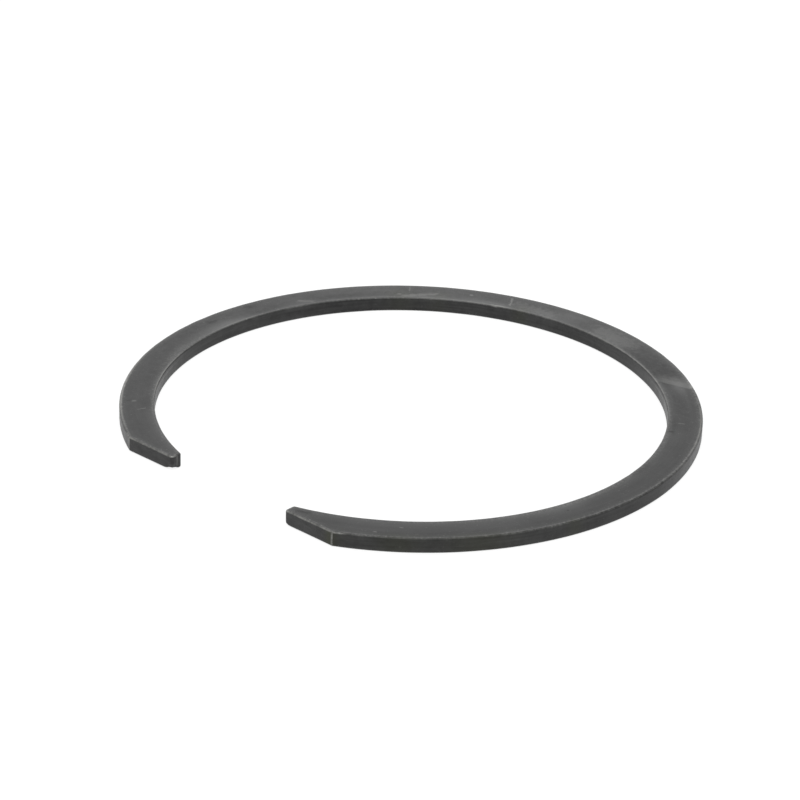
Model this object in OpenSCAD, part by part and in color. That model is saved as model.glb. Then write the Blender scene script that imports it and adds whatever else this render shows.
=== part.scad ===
// Internal retaining ring without lugs: one flat hoop of spring steel, open on one side.
// It is squeezed, put into a bore and let go, and its rim springs out into a groove in the wall.
// The outer corner of each end is cut away, and both cuts lie on one straight line, so that
// a blade can reach behind an end and lift it out of the groove.
// Lengths are in millimetres. The axis is Z, mid-thickness is at Z = 0, and the gap faces -Y.

/* [Hoop] */
// Outer diameter of the relaxed ring
free_od = 75; // [60:0.5:100]
// Width of the strip, measured along the radius
radial_width = 4.5; // [3.5:0.1:6]
// Thickness of the strip, measured along the axis
thickness = 2; // [1.2:0.1:3]

/* [Ends] */
// Clear distance between the two end faces
gap_width = 19.5; // [12:0.5:26]
// Depth of each end face, from the inner edge of the strip out to the straight cut
end_face = 1.6; // [1.2:0.1:2.2]
// Radius of the upright corners of each end, seen from above
corner_r = 0.4; // [0.35:0.05:0.5]

/* [Edges] */
// Radius of the edges round the upper face, which were broken by tumbling
upper_edge_r = 0.2; // [0.1:0.05:0.3]
// Radius of the edges round the lower face, which the blanking die rolled over
lower_edge_r = 0.3; // [0.1:0.05:0.3]

/* [Hidden] */
$fa = 2;
$fs = 0.05;

// How far a cut runs on past what it takes away
overrun = 1;
outer_r = free_od / 2;
inner_r = outer_r - radial_width;

// The end faces stand at X = +-tip_x. The straight cut is at Y = -cut_y, set to a hundredth.
tip_x = gap_width / 2;
cut_y = round(100 * (sqrt(inner_r ^ 2 - tip_x ^ 2) + end_face)) / 100;

// Which way the two straight sides of an end look: out at the bore, or across the gap
outward = -90;
across = 180;

// The end on the +X side has three upright corners: the heel, where the rim meets the straight
// cut, the toe, where the cut meets the end face, and the nib, where that face meets the inner
// edge of the strip. Each is the centre of its arc, the way the arc looks first, and its turn.
side_x = tip_x + corner_r;
side_y = corner_r - cut_y;
heel_x = sqrt((outer_r - corner_r) ^ 2 - side_y ^ 2);
nib_y = -sqrt((inner_r + corner_r) ^ 2 - side_x ^ 2);
heel = [[heel_x, side_y], outward, atan2(heel_x, -side_y)];
toe = [[side_x, side_y], outward, -90];
nib = [[side_x, nib_y], across, -atan2(-nib_y, side_x)];

// How much further the heel and the nib turn, in degrees, into the steel of the hoop. Their
// arcs leave its skin at a tangent, so what runs on is hidden inside and ties the two together.
run_on = 12;

// Moves a shape to a point in plan: by whole microns first and then by the rest, so that
// round faces which meet there run on into each other without a step
module placed(point) {
    microns = [round(1000 * point.x), round(1000 * point.y), 0] / 1000;
    translate(microns) translate([point.x, point.y, 0] - microns) children();
}

// Repeats its children for the end on the -X side
module both_ends() {
    children();
    mirror([1, 0, 0]) children();
}

// What is cleared outside a steel edge at the origin to leave it round, with the steel at -x, -y
module edge_waste(r) {
    difference() {
        translate([-r, -r]) square(r + overrun);
        translate([-r, -r]) circle(r);
    }
}

// Section of a strip from x = 0 to width, with a round edge above and below on its far side
module side_section(width) {
    difference() {
        translate([0, -thickness / 2]) square([width, thickness]);
        translate([width, thickness / 2]) edge_waste(upper_edge_r);
        translate([width, -thickness / 2]) mirror([0, 1]) edge_waste(lower_edge_r);
    }
}

// The whole hoop, with round edges inside and out and no gap yet
module hoop() {
    half_width = radial_width / 2;
    rotate_extrude() translate([inner_r + half_width, 0]) {
        side_section(half_width);
        mirror([1, 0]) side_section(half_width);
    }
}

// Clears the gap's side of a corner's centre: all that lies towards -X and -Y of it, and the
// sector beside that, up to where the rim stops square
module end_cut(corner) {
    reach = corner[0].x + overrun;
    placed(corner[0]) {
        translate([-reach, -reach, -thickness]) cube([reach, reach, 2 * thickness]);
        rotate([0, 0, corner[1]]) rotate_extrude(angle = corner[2])
            translate([0, -thickness]) square([reach, 2 * thickness]);
    }
}

// An upright corner of an end, with the hoop's edges carried round it
module end_corner(corner, run_on = 0) {
    placed(corner[0]) rotate([0, 0, corner[1]]) rotate_extrude(angle = corner[2] + run_on)
        side_section(corner_r);
}

// A straight side of an end, from one corner's centre to the next, where it is cut square
module end_side(start, stop, looks) {
    difference() {
        placed(start[0]) rotate([0, 0, looks]) mirror([0, 1, 0]) rotate([90, 0, 0])
            linear_extrude(norm(stop[0] - start[0]) + overrun) side_section(corner_r);
        placed(stop[0]) rotate([0, 0, looks]) translate([-2 * corner_r, 0, -thickness])
            cube([4 * corner_r, 2 * overrun, 2 * thickness]);
    }
}

// The border of one end, which joins the outer rim to the inner one
module end_border() {
    end_corner(heel, run_on);
    end_side(toe, heel, outward);
    end_corner(toe);
    end_side(nib, toe, across);
    end_corner(nib, -run_on);
}

module retaining_ring() {
    color("dimgray") {
        difference() {
            hoop();
            both_ends() {
                end_cut(heel);
                end_cut(nib);
            }
        }
        both_ends() end_border();
    }
}

retaining_ring();
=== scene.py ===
"""A lug-less internal retaining ring on a pale floor, in dark phosphated spring steel.

The scene is in metres. The ring lies flat, with its axis along Z and its gap towards -Y.
"""
import math

import bpy
import numpy as np
from mathutils import Matrix, Vector


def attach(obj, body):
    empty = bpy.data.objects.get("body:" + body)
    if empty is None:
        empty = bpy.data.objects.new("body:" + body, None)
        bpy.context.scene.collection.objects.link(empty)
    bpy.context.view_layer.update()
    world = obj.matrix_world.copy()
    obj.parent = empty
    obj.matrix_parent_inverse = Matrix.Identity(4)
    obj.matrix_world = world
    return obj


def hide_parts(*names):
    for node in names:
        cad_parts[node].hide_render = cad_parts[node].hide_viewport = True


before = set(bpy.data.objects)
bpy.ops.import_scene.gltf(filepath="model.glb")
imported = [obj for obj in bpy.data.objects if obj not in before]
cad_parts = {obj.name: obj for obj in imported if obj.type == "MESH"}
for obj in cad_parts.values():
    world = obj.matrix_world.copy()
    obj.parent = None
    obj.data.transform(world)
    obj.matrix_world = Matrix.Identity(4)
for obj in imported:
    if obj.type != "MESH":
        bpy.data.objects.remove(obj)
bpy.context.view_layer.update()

MM = 0.001

# The strip in millimetres: its rim and bore, its half thickness, how far its end faces and its
# straight cuts are from the axis, and the radii of its upright corners and of its edges
RIM_R = 37.5
BORE_R = 33.0
HALF_THICK = 1.0
TIP_X = 9.75
CUT_Y = 33.13
CORNER_R = 0.4
UPPER_R = 0.2
LOWER_R = 0.3
MID_R = (RIM_R + BORE_R) / 2

# The centres of an end's upright corners, and the angles of heel and nib seen from the axis
TOE = np.array([TIP_X + CORNER_R, CORNER_R - CUT_Y])
HEEL = np.array([math.sqrt((RIM_R - CORNER_R) ** 2 - TOE[1] ** 2), TOE[1]])
NIB = np.array([TOE[0], -math.sqrt((BORE_R + CORNER_R) ** 2 - TOE[0] ** 2)])
HEEL_A = math.degrees(math.atan2(HEEL[1], HEEL[0]))
NIB_A = math.degrees(math.atan2(NIB[1], NIB[0]))

# Steps along half of the strip, and in its cut, its corners, its end face, its edges and walls
HALF_STEPS = 500
CUT_STEPS = 32
CORNER_STEPS = 8
FACE_STEPS = 6
EDGE_STEPS = 8
WALL_STEPS = 4

# A narrow row of faces beside each round edge, which keeps the flats looking flat
GUARD = 0.03

# Wear of the upper and of the lower edges: the deepest, in millimetres, the number of its waves
# round the outline, and their seed
UPPER_WEAR = (0.035, 150, 3)
LOWER_WEAR = (0.02, 90, 5)

# Where the die rolled the lower corner of each toe over, and more so at -X: place, reach and
# depth in millimetres
DENTS = [
    ((-10.05, -32.85, -1.05), 0.60, 0.60),
    ((9.95, -33.0, -1.05), 0.30, 0.18),
]

# Marks on the upper face: from a place to a place, half width in millimetres, and strength.
# Light ones are smears and rubbed places, and dark ones are dull spots and pits.
LIGHT_MARKS = [
    ((3.5, 34.6), (8.3, 34.1), 1.70, 0.38),
    ((-12.35, 34.39), (-11.12, 32.39), 0.13, 0.90),
    ((-12.9, 30.6), (-12.3, 30.8), 0.22, 1.0),
    ((-10.6, 33.5), (-5.1, 33.9), 0.95, 0.42),
    ((-17.2, 31.1), (-17.1, 31.2), 0.16, 1.1),
    ((-23.6, 24.25), (-20.7, 27.9), 0.30, 0.65),
    ((-24.9, 26.9), (-24.1, 26.0), 0.10, 0.7),
    ((-24.5, 24.1), (-24.4, 24.2), 0.20, 0.9),
    ((-32.3, 12.4), (-31.1, 13.6), 0.35, 0.65),
    ((-24.9, -25.6), (-24.8, -25.5), 0.20, 0.65),
    ((-22.65, -26.96), (-22.26, -26.0), 0.09, 0.6),
    ((22.0, 30.1), (22.8, 29.5), 0.20, 0.8),
    ((22.5, -26.5), (22.7, -26.4), 0.10, 0.9),
    ((21.0, -29.5), (21.2, -29.4), 0.10, 0.9),
    ((28.3, 19.6), (28.9, 20.0), 0.12, 0.5),
]
DARK_MARKS = [
    ((11.4, 33.2), (18.3, 30.2), 1.5, 0.45),
    ((-35.7, -1.6), (-35.5, -0.8), 0.35, 0.6),
    ((-35.9, 5.6), (-35.4, 6.6), 0.40, 0.6),
    ((-25.5, -25.9), (-25.3, -25.8), 0.30, 0.6),
    ((33.6, -9.0), (33.7, -9.0), 0.14, 1.0),
    ((28.9, 16.9), (29.2, 17.1), 0.30, 0.6),
    ((11.1, -32.1), (12.4, -31.6), 0.30, 0.7),
]

# A rubbed wedge, as a light mark, which is cut off on its near side: how far the cut's line is
# from the middle and how soft it is, in millimetres, and how much the wedge strays, as a share
# of what the other marks do
WEDGE = ((19.3, 28.6), (22.9, 29.5), 1.25, 0.62)
WEDGE_CUT = 0.75
WEDGE_SOFT = 0.15
WEDGE_LOOSE = 0.35

# Scuffs that follow the strip: radius, angle in degrees from +X, -90 to 270, half width and half
# length in millimetres, and strength
SCUFFS = [
    (37.2, 50, 0.35, 9.0, 0.35),
    (33.5, -12, 0.40, 14.0, 0.5),
    (33.8, 200, 0.45, 5.0, 0.4),
    (37.3, 12, 0.20, 6.0, 0.3),
]

# Painted highlights: where the border of the upper face gets a thin bright line of bare metal, in
# the same order
PAINTED_HIGHLIGHT_LINES = [
    (33.15, 64, 0.075, 15.0, 0.66),
    (33.14, 211, 0.075, 9.0, 0.70),
    (33.25, 118, 0.12, 8.0, 0.32),
    (33.30, 110.5, 0.16, 0.8, 0.70),
    (33.28, 178, 0.16, 5.0, 0.22),
    (37.31, 222, 0.13, 9.0, 0.80),
    (37.28, 30, 0.09, 7.0, 0.45),
]

# Painted highlights in fine streaks along the inner wall: height, then the same
BORE_PAINTED_HIGHLIGHTS = [
    (0.42, 50, 0.07, 5.0, 0.32),
    (0.02, 47, 0.06, 4.0, 0.24),
    (0.40, 212, 0.07, 4.5, 0.32),
    (-0.05, 216, 0.06, 3.5, 0.24),
]

# Pale clouds in the coat of the upper face, with radius first again, and dark ones, whose
# strength is below 0. The pale ones by the bore, at 114 to 186 degrees, are painted highlight.
CLOUDS_AND_HIGHLIGHTS = [
    (33.8, 64, 0.65, 5.5, -1.1),
    (34.2, 58, 0.70, 2.0, -0.9),
    (33.8, 34, 0.70, 3.0, -0.7),
    (34.2, 46, 0.80, 4.0, -0.5),
    (33.6, 10, 0.50, 2.5, -0.6),
    (33.8, 88, 0.60, 2.0, -0.6),
    (34.2, 147, 0.85, 6.0, -0.75),
    (34.0, 169, 0.70, 3.5, -0.65),
    (34.0, 212, 0.80, 6.0, -0.45),
    (33.9, 227, 0.90, 2.5, -0.6),
    (34.0, -16, 1.20, 4.0, 0.75),
    (33.8, 180, 0.90, 3.0, 0.9),
    (34.2, 186, 1.20, 4.0, 0.4),
    (35.7, 190, 1.00, 2.5, -0.4),
    (33.7, 114, 0.70, 3.0, 0.9),
    (33.6, 128, 0.50, 2.5, 0.9),
    (35.6, 52, 0.80, 1.8, 1.1),
    (35.6, 94, 1.30, 2.0, 0.7),
    (35.0, -53, 2.20, 6.0, 0.35),
    (34.5, -32, 2.00, 4.0, 0.4),
    (35.2, 106, 0.90, 2.0, -0.6),
]

# Dark clouds on the walls, in the same order
WALL_CLOUDS = [
    (BORE_R, 143, 0.30, 6.0, -0.3),
    (BORE_R, 206, 0.30, 9.0, -0.5),
    (RIM_R, 3, 0.30, 8.0, -0.3),
]

# Where oil left a green-brown tinge, in the same order
TINGES = [
    (RIM_R, -60.5, 1.0, 1.2, 0.12),
    (RIM_R, -50, 1.0, 2.4, 0.35),
    (RIM_R, -35, 1.0, 4.0, 0.35),
    (RIM_R, -16, 0.8, 1.0, 0.30),
    (33.4, 105.5, 1.2, 1.3, 0.35),
    (34.0, 126, 1.5, 1.4, 0.30),
    (34.2, 135, 1.8, 2.0, 0.35),
]

# A tinge on the straight cut at +X, and a scratch down the end face at -X: the middle, which is
# an x for the first and a y for the second, half width and strength
CUT_TINGE = (17.2, 0.8, 0.7)
SCRATCH = (-32.25, 0.07, 0.35)

# Where masks start and where they are whole, in millimetres: the distance from a face or a wall,
# from the upper face for what reaches over its edge, from the outline for the specks and the
# painted highlight beside it and from the line of the straight cuts, then the y of the two ends,
# how far back the painted light pales the upper face, and the radius for the painted highlight
# that fades from the bore and for what fades from the rim
ON_SKIN = (0.10, 0.03)
ABOUT_TOP = (0.22, 0.12)
BESIDE_BORDER = (1.1, 0.15)
NEAR_CUT = (1.0, 0.4)
NEAR_ENDS = (-27.0, -29.0)
BACK_PAINTED_LIGHT = (14.0, 32.0)
BORE_PAINTED_HIGHLIGHT = (35.3, 33.3)
NEAR_RIM = (30.0, 37.0)

# The bare crown of an upper and of a lower edge starts, and is whole, where the depths inside
# the outline and from the face have these sums. A line along the border of the upper face is
# rubbed too, that far inside and with that half width, and so is each toe, within that reach.
UPPER_CROWN = (0.188, 0.125)
LOWER_CROWN = (0.26, 0.18)
RUBBED_LINE = (0.30, 0.12)
RUBBED_TOE = 0.35

# The roughness of the phosphate and the least of any place, and the height of its bumps in
# millimetres
ROUGH = 0.42
SMOOTHEST = 0.22
BUMPS = 0.006

# Longer than any length on the ring
FAR = 1000

# Colours: the phosphate where it is darkest and where it is palest, its tinge, the bare steel,
# the floor's own, and that of all light
DARKEST = (0.004, 0.004, 0.004, 1.0)
PALEST = (0.0573, 0.0578, 0.0575, 1.0)
OILY = (0.019, 0.021, 0.007, 1.0)
BARE = (0.22, 0.22, 0.21, 1.0)
PALE_GREY = (0.16, 0.16, 0.16, 1.0)
WHITE = (1.0, 1.0, 1.0, 1.0)

# The floor's radius in metres, and how far it is below the ring, in millimetres
FLOOR_R = 6.0
FLOOR_GAP = 0.01


def outwards(first, last, steps):
    """Rows (cos a, sin a), for angles a at even steps from first to last, in degrees."""
    angle = np.radians(np.linspace(first, last, steps + 1))
    return np.stack([np.cos(angle), np.sin(angle)], 1)


def turned(centre, first, last, steps):
    """An upright corner as (base, normal) rows: every base point is the centre, and the normal
    is (cos a, sin a) for angles a from first to last, in degrees."""
    normal = outwards(first, last, steps)
    return np.concatenate([np.broadcast_to(centre, normal.shape), normal], 1)


def ruled(start, stop, looks, steps):
    """A straight side: base points at even steps from start to stop, with one normal."""
    share = np.linspace(0, 1, steps + 1)[:, None]
    base = np.array(start) * (1 - share) + np.array(stop) * share
    return np.concatenate([base, np.broadcast_to(looks, base.shape)], 1)


def curved(radius, side, first, last, steps):
    """A stretch of rim or bore: base points radius * (cos a, sin a) for a from first to last, in
    degrees, with normals away from the axis where side is 1 and towards it where it is -1."""
    out = outwards(first, last, steps)
    return np.concatenate([out * radius, out * side], 1)


def joined(*runs):
    """Runs of rows one after another, each without its first row, which repeats the last."""
    return np.concatenate([runs[0]] + [run[1:] for run in runs[1:]])


def sides_of_strip():
    """The strip in plan as chains of (base, normal) rows: its outer side and its inner side from
    the end at +X round to the end at -X, and the end faces that join their first and their last
    rows. Base points run CORNER_R inside the outline, so the point at a depth d is base + normal
    * (CORNER_R - d). The half at -X is the other half with its rows reversed and x negated."""
    half_corner = CORNER_STEPS // 2
    rest = HALF_STEPS - half_corner - CUT_STEPS - CORNER_STEPS
    bore_looks = NIB_A + 180
    nib_mid = (180 + bore_looks) / 2
    outer = joined(
        turned(TOE, -135, -90, half_corner),
        ruled(TOE, HEEL, (0, -1), CUT_STEPS),
        turned(HEEL, -90, HEEL_A, CORNER_STEPS),
        curved(RIM_R - CORNER_R, 1, HEEL_A, 90, rest),
    )
    inner = joined(
        turned(NIB, nib_mid, bore_looks, half_corner),
        curved(BORE_R + CORNER_R, -1, NIB_A, HEEL_A, CUT_STEPS + CORNER_STEPS),
        curved(BORE_R + CORNER_R, -1, HEEL_A, 90, rest),
    )
    face = joined(
        turned(TOE, -135, -180, half_corner),
        ruled(TOE, NIB, (-1, 0), FACE_STEPS),
        turned(NIB, 180, nib_mid, half_corner),
    )
    flip = np.array([-1, 1, -1, 1])
    outer = joined(outer, outer[::-1] * flip)
    inner = joined(inner, inner[::-1] * flip)
    return outer, inner, face, face * flip


def flat_face(sides, depth, height):
    """One flat face at a height, cut back to a depth inside the outline: a grid of points ruled
    from the outer side to the inner side, whose first and last rows are the end faces."""
    outer, inner, face, far_face = (
        rows[:, :2] + rows[:, 2:] * (CORNER_R - depth) for rows in sides
    )
    share = np.linspace(0, 1, len(face))[None, :, None]
    plan = outer[:, None] * (1 - share) + inner[:, None] * share
    plan[0] = face
    plan[-1] = far_face
    return np.insert(plan, 2, height, axis=2)


def border_section():
    """The border's section from the upper face to the lower one, as rows of the point's depth
    inside the outline and its height, and of the outward and the upward part of the normal: a
    quarter circle, a straight wall and a wider quarter circle."""
    angle = np.linspace(0, np.pi / 2, EDGE_STEPS + 1)
    sine, cosine = np.sin(angle), np.cos(angle)
    upper = [UPPER_R * (1 - sine), HALF_THICK - UPPER_R * (1 - cosine), sine, cosine]
    height = np.linspace(HALF_THICK - UPPER_R, LOWER_R - HALF_THICK, WALL_STEPS + 1)
    height[0] -= GUARD
    height[-1] += GUARD
    level = np.zeros_like(height)
    wall = [level, height, level + 1, level]
    lower = [LOWER_R * (1 - cosine), LOWER_R * (1 - sine) - HALF_THICK, cosine, -sine]
    return np.concatenate([upper, wall, lower], 1).T


def wander(length, deepest, waves, seed):
    """A closed run of values from 0 to deepest: the sum of cosines of whole frequencies up to
    waves, with seeded sizes and phases."""
    rng = np.random.default_rng(seed)
    frequency = np.arange(1, waves + 1)
    turn = 2 * np.pi * (np.arange(length)[:, None] / length * frequency + rng.random(waves))
    run = (rng.normal(size=waves) * np.cos(turn)).sum(1)
    return (run - run.min()) / (run.max() - run.min()) * deepest


def bands(ids):
    """Faces between each closed row of point numbers and the next row."""
    there = np.roll(ids, -1, axis=1)
    return np.stack([ids[:-1], ids[1:], there[1:], there[:-1]], 2).reshape(-1, 4)


def skin_faces(steps, across, rows):
    """The faces of two grids of points, the second one facing down, and of the border's rows of
    points, which come after the grids and run round from the edge of one to the other's."""
    grid = np.arange(steps * across).reshape(steps, across)
    edge = np.concatenate([grid[:, 0], grid[-1, 1:-1], grid[::-1, -1], grid[0, -2:0:-1]])
    between = 2 * grid.size + np.arange(rows * len(edge)).reshape(rows, -1)
    border = bands(np.concatenate([edge[None], between, grid.size + edge[None]]))
    flat = np.stack([grid[:-1, :-1], grid[1:, :-1], grid[1:, 1:], grid[:-1, 1:]], 2).reshape(-1, 4)
    return np.concatenate([flat, flat[:, ::-1] + grid.size, border])


def new_piece(name, verts, faces):
    """A smooth-shaded object from points in metres and faces."""
    mesh = bpy.data.meshes.new(name)
    mesh.from_pydata(verts.tolist(), [], faces)
    mesh.shade_smooth()
    mesh.update()
    piece = bpy.data.objects.new(name, mesh)
    bpy.context.collection.objects.link(piece)
    return piece


def ring_skin(name, dents):
    """The ring's closed skin: two flat faces, and the border's section carried round them. Each
    point is then taken in along its normal, by the wear of the round edges, which is deepest
    half way round them, and by dents, which are bells of (place, reach, depth)."""
    sides = sides_of_strip()
    outer, inner, face, far_face = sides
    loop = np.concatenate([outer, far_face[1:-1], inner[::-1], face[-2:0:-1]])
    base, looks = loop[:, :2], loop[:, 2:]
    section = border_section()
    depth, height, out, up = section.T[:, :, None, None]
    shape = (len(section), len(loop), 1)

    top = flat_face(sides, UPPER_R + GUARD, HALF_THICK)
    bottom = flat_face(sides, LOWER_R + GUARD, -HALF_THICK)
    plan = base + looks * (CORNER_R - depth)
    border = np.concatenate([plan, np.broadcast_to(height, shape)], 2)
    verts = np.concatenate([part.reshape(-1, 3) for part in (top, bottom, border)])

    upright = np.zeros_like(top) + [0, 0, 1]
    sideways = np.concatenate([looks * out, np.broadcast_to(up, shape)], 2)
    normals = np.concatenate([part.reshape(-1, 3) for part in (upright, -upright, sideways)])

    upper, lower = (wander(len(loop), *wear)[:, None] for wear in (UPPER_WEAR, LOWER_WEAR))
    rubbed = np.where(up > 0, upper, lower) * 2 * out * abs(up)
    taken = np.concatenate([np.zeros((len(verts) - rubbed.size, 1)), rubbed.reshape(-1, 1)])
    for place, reach, deep in dents:
        far = ((verts - place) ** 2).sum(1, keepdims=True)
        taken += deep * np.exp(-far / reach ** 2)
    faces = skin_faces(*top.shape[:2], len(section))
    return new_piece(name, (verts - normals * taken) * MM, faces.tolist())


def floor_disc(name, radius, height, rings, spokes):
    """A flat round floor: rings of points at radius * (j / rings) ** 2 from the centre, for j
    from 1 to rings, at even angles, round one centre point."""
    reach = radius * (np.arange(1, rings + 1) / rings) ** 2
    angle = 2 * np.pi * np.arange(spokes) / spokes
    x, y = reach[:, None] * np.cos(angle), reach[:, None] * np.sin(angle)
    points = np.stack([x, y, np.full_like(x, height)], 2).reshape(-1, 3)
    ids = 1 + np.arange(rings * spokes).reshape(rings, spokes)
    fan = np.stack([0 * ids[0], ids[0], np.roll(ids[0], -1)], 1)
    verts = np.concatenate([[[0, 0, height]], points])
    return new_piece(name, verts, fan.tolist() + bands(ids).tolist())


class Field:
    """A number that varies over a surface, as a shader socket. Operators add Math nodes."""

    def __init__(self, finish, socket):
        self.finish = finish
        self.socket = socket

    def math(self, operation, *others, clamp=False):
        """A Math node on this and others."""
        settings = {"operation": operation, "use_clamp": clamp}
        return self.finish.field("ShaderNodeMath", settings, (self, *others))

    def __add__(self, other):
        return self.math("ADD", other)

    def __sub__(self, other):
        return self.math("SUBTRACT", other)

    def __rsub__(self, other):
        return -self + other

    def __mul__(self, other):
        return self.math("MULTIPLY", other)

    def __pow__(self, other):
        return self.math("POWER", other)

    def __neg__(self):
        return self.math("MULTIPLY", -1)

    def __abs__(self):
        return self.math("ABSOLUTE")

    __radd__ = __add__
    __rmul__ = __mul__

    def least(self, other):
        """The lesser of this and other."""
        return self.math("MINIMUM", other)

    def most(self, other):
        """The greater of this and other."""
        return self.math("MAXIMUM", other)

    def clamped(self):
        """This, but never below 0 or above 1."""
        return self.math("ADD", 0.0, clamp=True)

    def ramp(self, low, high):
        """Smoothly from 0 where this is at low to 1 where it is at high."""
        share = ((self - low) * (1 / (high - low))).clamped()
        return share * share * (3 - 2 * share)

    def bell(self, width):
        """1 where this is 0, and about a third where it is width either way."""
        return (self * self * (-1 / width ** 2)).math("EXPONENT")


class Finish:
    """A material made of nodes."""

    def __init__(self, name):
        self.material = bpy.data.materials.new(name)
        self.material.use_nodes = True
        self.tree = self.material.node_tree
        self.tree.nodes.clear()

    def node(self, kind, settings=None, inputs=()):
        """Adds a node: its settings first, then its inputs as values or links, either in order
        or by name."""
        node = self.tree.nodes.new(kind)
        for key, value in (settings or {}).items():
            setattr(node, key, value)
        pairs = inputs.items() if isinstance(inputs, dict) else enumerate(inputs)
        for key, value in pairs:
            if isinstance(value, Field):
                value = value.socket
            if isinstance(value, bpy.types.NodeSocket):
                self.tree.links.new(value, node.inputs[key])
            else:
                node.inputs[key].default_value = value
        return node

    def field(self, kind, settings=None, inputs=(), output=0):
        """A node's output as a field."""
        return Field(self, self.node(kind, settings, inputs).outputs[output])

    def vector(self, operation, *values):
        """A vector worked out from vectors."""
        node = self.node("ShaderNodeVectorMath", {"operation": operation}, values)
        return node.outputs["Vector"]

    def measure(self, operation, *values):
        """A number worked out from vectors, as a field."""
        return self.field("ShaderNodeVectorMath", {"operation": operation}, values, "Value")

    def noise(self, vector, scale, detail, roughness):
        """Noise of about 0 to 1, with features about 1 / scale across."""
        inputs = {"Vector": vector, "Scale": scale, "Detail": detail, "Roughness": roughness}
        return self.field("ShaderNodeTexNoise", None, inputs, "Fac")

    def mix(self, factor, low, high):
        """A colour that goes from low to high as factor goes from 0 to 1."""
        settings = {"data_type": "RGBA", "clamp_factor": True}
        return self.node("ShaderNodeMix", settings, {0: factor, 6: low, 7: high}).outputs[2]

    def shaded(self, **inputs):
        """The material with a Principled shader, whose sockets are named with _ for a space."""
        named = {name.replace("_", " "): value for name, value in inputs.items()}
        shader = self.node("ShaderNodeBsdfPrincipled", None, named)
        self.node("ShaderNodeOutputMaterial", None, {"Surface": shader.outputs[0]})
        return self.material


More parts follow.
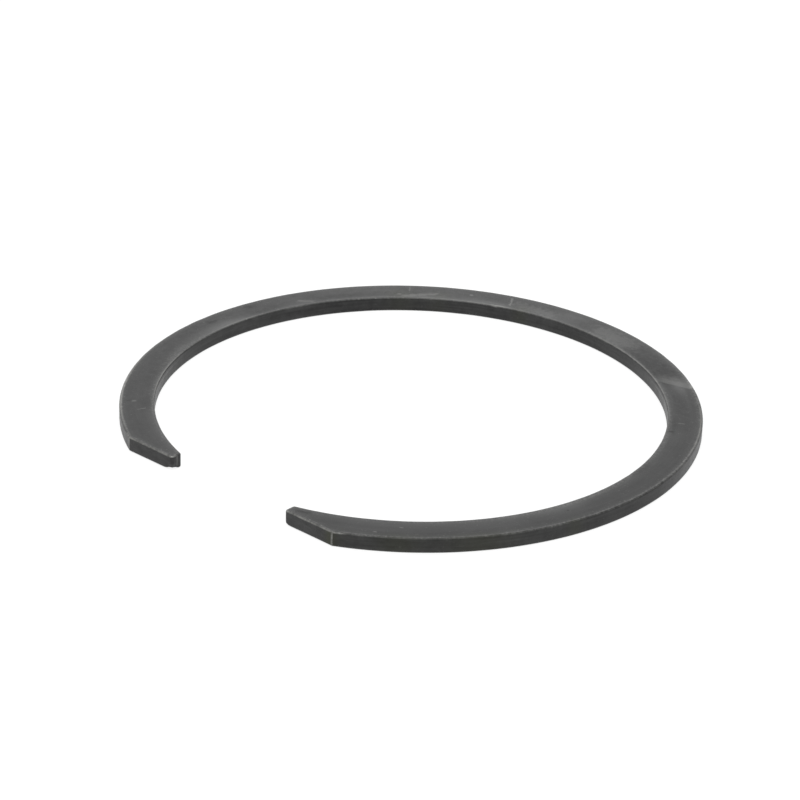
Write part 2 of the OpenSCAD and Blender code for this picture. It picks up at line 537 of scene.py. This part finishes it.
class SpringSteel(Finish):
    """Phosphated spring steel: dark and satin, a little cloudy and speckled, with bare metal
    rubbed through along the edges and the ends, and handling marks on the upper face. Its colour
    also holds painted light: paler towards the back, and painted highlights by the bore and along
    the borders."""

    def __init__(self):
        super().__init__("spring_steel")
        self.find_places()
        self.find_outline()
        self.make_grain()

    def find_places(self):
        """A point's place in millimetres: straight, in plan, and as the distances along the
        strip's middle, from the axis and above mid-thickness."""
        place = self.node("ShaderNodeTexCoord").outputs["Object"]
        self.mm = self.vector("DIVIDE", place, (MM, MM, MM))
        self.plan = self.vector("MULTIPLY", self.mm, (1, 1, 0))
        axes = self.node("ShaderNodeSeparateXYZ", None, [self.mm]).outputs
        self.x, self.y, self.z = (Field(self, axis) for axis in axes)
        self.r = self.measure("LENGTH", self.plan)
        self.along = self.x.math("ARCTAN2", self.y) * MID_R
        strip = self.node("ShaderNodeCombineXYZ", None, [self.along, self.r, self.z])
        self.polar = strip.outputs[0]

    def find_outline(self):
        """How far a point is inside the outline, below the upper face, above the lower one, and
        past an end face, which the far side of the ring has none of. Then the masks: on and
        about the upper face, beside its border, on the walls, at the ends and at their cuts."""
        self.past_end = (abs(self.x) - TIP_X).most(self.y * 10)
        before = (TOE[0] - abs(self.x)).least(-self.y)
        sides = (RIM_R - self.r).least(self.r - BORE_R).least(self.y + CUT_Y)
        sides = sides.least(self.past_end)
        sides = sides.least(self.corner(TOE, before, TOE[1] - self.y))
        self.inside = sides.least(self.corner(NIB, before, BORE_R + CORNER_R - self.r))
        self.below = HALF_THICK - self.z
        self.above = self.z + HALF_THICK
        self.on_top = self.below.ramp(*ON_SKIN)
        self.near_top = self.below.ramp(*ABOUT_TOP)
        self.beside = self.inside.ramp(*BESIDE_BORDER) * self.on_top
        self.on_wall = self.inside.ramp(*ON_SKIN)
        self.at_ends = self.y.ramp(*NEAR_ENDS)
        self.at_cut = (self.y + CUT_Y).ramp(*NEAR_CUT)

    def make_grain(self):
        """The noises, from coarse to fine, those that run along the strip, and how far the marks
        stray from their lines, in half widths."""
        self.cloud = self.noise(self.mm, scale=0.16, detail=3, roughness=0.55)
        self.mottle = self.noise(self.mm, scale=1.1, detail=4, roughness=0.62)
        self.fleck = self.noise(self.mm, scale=3.1, detail=1, roughness=0.5)
        self.speckle = self.noise(self.mm, scale=3.6, detail=2, roughness=0.7)
        self.grain = self.noise(self.mm, scale=8.0, detail=3, roughness=0.6)
        self.streak = self.streaked(stretch=(0.10, 2.0, 2.4), seed=0.0)
        self.hairline = self.streaked(stretch=(0.5, 9.0, 9.0), seed=40.0)
        self.broken = self.mottle.ramp(0.36, 0.62) * 0.7 + self.fleck.ramp(0.4, 0.7) * 0.5
        inputs = {"Vector": self.mm, "Scale": 1.6, "Detail": 2.0}
        cells = self.node("ShaderNodeTexNoise", None, inputs).outputs["Color"]
        self.stray = self.vector("MULTIPLY_ADD", cells, (3.2, 3.2, 0), (-1.6, -1.6, 0))

    def streaked(self, stretch, seed):
        """Noise on the strip's own distances, which a stretch below 1 draws out."""
        moved = self.vector("MULTIPLY_ADD", self.polar, stretch, (seed, seed, seed))
        return self.noise(moved, scale=1.0, detail=3, roughness=0.6)

    def distance(self, centre):
        """How far a point is in plan from a centre at +X or its mirror image at -X."""
        return ((abs(self.x) - centre[0]) ** 2 + (self.y - centre[1]) ** 2) ** 0.5

    def corner(self, centre, *beyond):
        """How far a point is inside a round corner, and FAR more where either of the distances
        past its centre is below 0, which means that the point isn't at the corner."""
        elsewhere = beyond[0].least(beyond[1]).math("LESS_THAN", 0.0)
        return CORNER_R - self.distance(centre) + elsewhere * FAR

    def upright(self, centre, looks, spread, softness):
        """The crown of an upright corner, on the wall: 1 within spread degrees of the way that
        it looks, and softly less beyond."""
        way = math.radians(looks)
        ahead = (abs(self.x) - centre[0]) * math.cos(way) + (self.y - centre[1]) * math.sin(way)
        start, whole = (CORNER_R * math.cos(math.radians(a)) for a in (spread + softness, spread))
        return ahead.ramp(start, whole) * self.on_wall * self.at_ends

    def mark(self, start, stop, width, strength, loose=1.0):
        """A soft stroke: a bell of the distance to the line from start to stop, after the point
        has strayed from its own place, by up to about loose half widths."""
        start, stop = Vector((*start, 0)), Vector((*stop, 0))
        looks = (stop - start).normalized()
        by = (loose * width, loose * width, 0)
        strayed = self.vector("MULTIPLY_ADD", self.stray, by, self.plan)
        ahead = self.measure("DOT_PRODUCT", self.vector("SUBTRACT", strayed, start), looks)
        ahead = ahead.most(0.0).least((stop - start).length)
        nearest = self.vector("MULTIPLY_ADD", ahead.socket, looks, start)
        return self.measure("DISTANCE", strayed, nearest).bell(width) * strength

    def wedge(self):
        """The rubbed wedge: a mark that is cut off along a line on its right, which strays in x
        alone."""
        start, stop = (Vector((*place, 0)) for place in WEDGE[:2])
        looks = (stop - start).normalized()
        left = Vector((-looks.y, looks.x, 0))
        edge = self.measure("DOT_PRODUCT", self.vector("SUBTRACT", self.plan, start), left)
        edge += self.measure("DOT_PRODUCT", self.stray, (0.08, 0, 0)) + WEDGE_CUT
        return self.mark(*WEDGE, loose=WEDGE_LOOSE) * edge.ramp(-WEDGE_SOFT, WEDGE_SOFT)

    def scuffs(self, across, rows):
        """The sum of soft stretches along the strip, one for each row. Each is the product of
        two bells: of how far across is from the row's first number, and of how far the point is
        along the strip from the row's angle."""
        total = 0.0
        for middle, angle, width, length, strength in rows:
            ahead = self.along - math.radians(90 - angle) * MID_R
            total += (across - middle).bell(width) * ahead.bell(length) * strength
        return total

    def edge_wear(self):
        """Bare metal along the crowns of the edges, broken up, and most at the straight cuts,
        the heels and the toes, and a little of it on the border of the upper face."""
        patchy = self.cloud.ramp(0.38, 0.62)
        crown = (self.inside + self.below - self.at_cut * 0.02).ramp(*UPPER_CROWN)
        lower_crown = (self.inside + self.above).ramp(*LOWER_CROWN)
        middle, width = RUBBED_LINE
        border = (self.inside - middle).bell(width) * self.below.ramp(0.05, 0.01)
        toe = self.distance(TOE - CORNER_R / 2).bell(RUBBED_TOE)
        heel = self.upright(HEEL, looks=(HEEL_A - 90) / 2, spread=14, softness=6)
        wear = 0.02 + self.broken * (0.04 + 0.12 * patchy) + toe * 0.5
        wear = crown * (wear + self.at_cut * (0.22 + 0.42 * self.broken))
        wear += border * (0.05 + 0.18 * self.broken) * self.r.ramp(*NEAR_RIM)
        return wear + lower_crown * self.broken * 0.08 + heel * (0.26 + 0.5 * self.broken)

    def wear_and_painted_highlights(self):
        """Painted highlights, as bare metal in thin lines along the border of the upper face and
        along the inner wall, and bare metal in the scratch, in scuffs and in specks, which crowd
        beside the border."""
        # Painted highlights: bright lines along the border of the upper face and streaks on the
        # inner wall
        lines = self.scuffs(self.r, PAINTED_HIGHLIGHT_LINES) * self.below.ramp(0.10, 0.04)
        lines += self.scuffs(self.z, BORE_PAINTED_HIGHLIGHTS) * (self.r - BORE_R).ramp(*ON_SKIN)
        middle, width, strength = SCRATCH
        scratch = (self.y - middle).bell(width) * self.x.ramp(0, -1)
        scratch *= self.past_end.ramp(0.1, 0.02) * strength
        worn = self.scuffs(self.r, SCUFFS) * self.near_top * self.speckle.ramp(0.35, 0.65)
        specks = self.fleck.ramp(0.66, 0.76) * (0.05 + 0.07 * self.on_top + 0.25 * self.beside)
        specks += self.speckle.ramp(0.58, 0.70) * self.beside * 0.14
        return lines * (0.3 + 1.4 * self.mottle) + scratch + worn * 0.45 + specks

    def colour_and_painted_light(self, light, dark, coarse):
        """The phosphated steel's colour with painted light: cloudy, mottled, streaked on the walls
        and speckled where it is coarse, paler in light marks and tinged by oil, with painted light
        paler towards the back and painted highlight paler towards the bore and beside the border."""
        tone = (self.cloud - 0.5) * 0.8 + (self.mottle - 0.5) * 0.9
        tone += (self.streak - 0.5) * (0.6 + 0.6 * self.on_wall)
        tone += self.hairline.ramp(0.60, 0.75) * 0.4
        # Painted light on the upper face: paler towards the back, and painted highlight paler
        # towards the bore
        painted_back_light = (self.y * 0.94 - self.x * 0.34).ramp(*BACK_PAINTED_LIGHT)
        tone += self.on_top * (painted_back_light * 0.28 + self.r.ramp(*BORE_PAINTED_HIGHLIGHT) * 0.5 - 0.26)
        # Painted highlight: a paler band beside the border of the upper face
        tone += self.beside * (0.15 + 0.5 * self.mottle)
        tone += (self.speckle - 0.5) * coarse * 1.8
        # Pale and dark clouds; the pale ones by the bore, at 114 to 186 degrees, are painted
        # highlight
        tone += self.scuffs(self.r, CLOUDS_AND_HIGHLIGHTS) * self.on_top
        tone += self.scuffs(self.r, WALL_CLOUDS) * self.on_wall
        tone += light * 0.5 - dark * 0.6 + 0.42
        middle, width, strength = CUT_TINGE
        oil = (self.x - middle).bell(width) * self.at_cut * self.on_wall * strength
        oil += self.scuffs(self.r, TINGES)
        return self.mix(oil, self.mix(tone * 0.6, DARKEST, PALEST), OILY)

    def finished(self):
        """The material. Light marks are bare and smoother, and dark ones are dull and sunk."""
        light = self.wedge() + sum(self.mark(*row) for row in LIGHT_MARKS)
        light *= self.near_top * (0.55 + 0.9 * self.mottle)
        dark = sum(self.mark(*row) for row in DARK_MARKS) * self.on_top
        rubbed = self.edge_wear() + self.wear_and_painted_highlights() + light * 0.30
        bare = rubbed.clamped()

        coarse = self.inside.ramp(0.9, 0.2) * self.on_top * 1.5
        coarse += self.below.least(self.above).ramp(0.8, 0.3) * self.on_wall * 0.3
        colour = self.mix(bare, self.colour_and_painted_light(light, dark, coarse), BARE)
        rough = ROUGH + (self.mottle - 0.5) * 0.30 + (self.grain - 0.5) * 0.2 + dark * 0.1
        rough = (rough - light * 0.06 - rubbed * 0.08).most(SMOOTHEST)
        height = self.grain * 0.5 + self.mottle * 0.8 + self.hairline * 0.4 - dark * 1.5
        height += self.speckle * coarse * 0.8 + self.on_wall * self.streak * 1.2
        inputs = {"Strength": 0.5, "Distance": BUMPS * MM, "Height": height}
        bump = self.node("ShaderNodeBump", None, inputs)
        return self.shaded(Base_Color=colour, Metallic=bare * 0.7, Roughness=rough, IOR=1.38,
                           Normal=bump.outputs[0])


def light_table():
    """A pale floor that glows, so that shadows on it stay faint."""
    return Finish("floor_white").shaded(
        Base_Color=PALE_GREY, Roughness=0.9, Specular_IOR_Level=0.1,
        Emission_Color=WHITE, Emission_Strength=0.86)


def soft_light(name, centre, size, watts):
    """A square soft box that looks at the ring."""
    data = bpy.data.lights.new(name, "AREA")
    data.shape = "SQUARE"
    data.size = size
    data.energy = watts
    lamp = bpy.data.objects.new(name, data)
    lamp.location = centre
    lamp.rotation_euler = (-Vector(centre)).to_track_quat("-Z", "Y").to_euler()
    bpy.context.collection.objects.link(lamp)


def sky(name, strength):
    """White light from all round."""
    world = bpy.data.worlds.new(name)
    world.use_nodes = True
    background = world.node_tree.nodes["Background"]
    background.inputs["Color"].default_value = WHITE
    background.inputs["Strength"].default_value = strength
    bpy.context.scene.world = world


def photographer(azimuth, elevation, distance, aim, roll, lens):
    """The camera stands at that azimuth, elevation and distance from the ring's centre, looks at
    the point aim, and is turned by roll about its view, in degrees."""
    around, up = math.radians(azimuth), math.radians(elevation)
    level = math.cos(up)
    stand = Vector((math.sin(around) * level, -math.cos(around) * level, math.sin(up))) * distance
    look = (aim - stand).to_track_quat("-Z", "Y").to_matrix().to_4x4()
    data = bpy.data.cameras.new("camera")
    data.sensor_width = 36.0
    data.lens = lens
    data.clip_start = 0.01
    data.clip_end = 50.0
    camera = bpy.data.objects.new("camera", data)
    turn = Matrix.Rotation(math.radians(roll), 4, "Z")
    camera.matrix_world = Matrix.Translation(stand) @ look @ turn
    bpy.context.collection.objects.link(camera)
    bpy.context.scene.camera = camera


photographer(azimuth=41.67, elevation=25.745, distance=0.38403,
             aim=Vector((-2.564, 0.663, 0.0)) * MM, roll=1.709, lens=133.91)

ring = ring_skin("ring", DENTS)
ring.data.materials.append(SpringSteel().finished())
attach(ring, "root")
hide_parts("retaining_ring")

floor = floor_disc("floor", FLOOR_R, -(HALF_THICK + FLOOR_GAP) * MM, rings=24, spokes=96)
floor.data.materials.append(light_table())

sky("studio", strength=0.95)
soft_light("overhead", centre=(0.14, -0.16, 0.80), size=0.36, watts=2.8)
soft_light("window", centre=(-0.835, 0.788, 0.36), size=0.70, watts=0.80)

bpy.context.scene.view_settings.view_transform = "Standard"
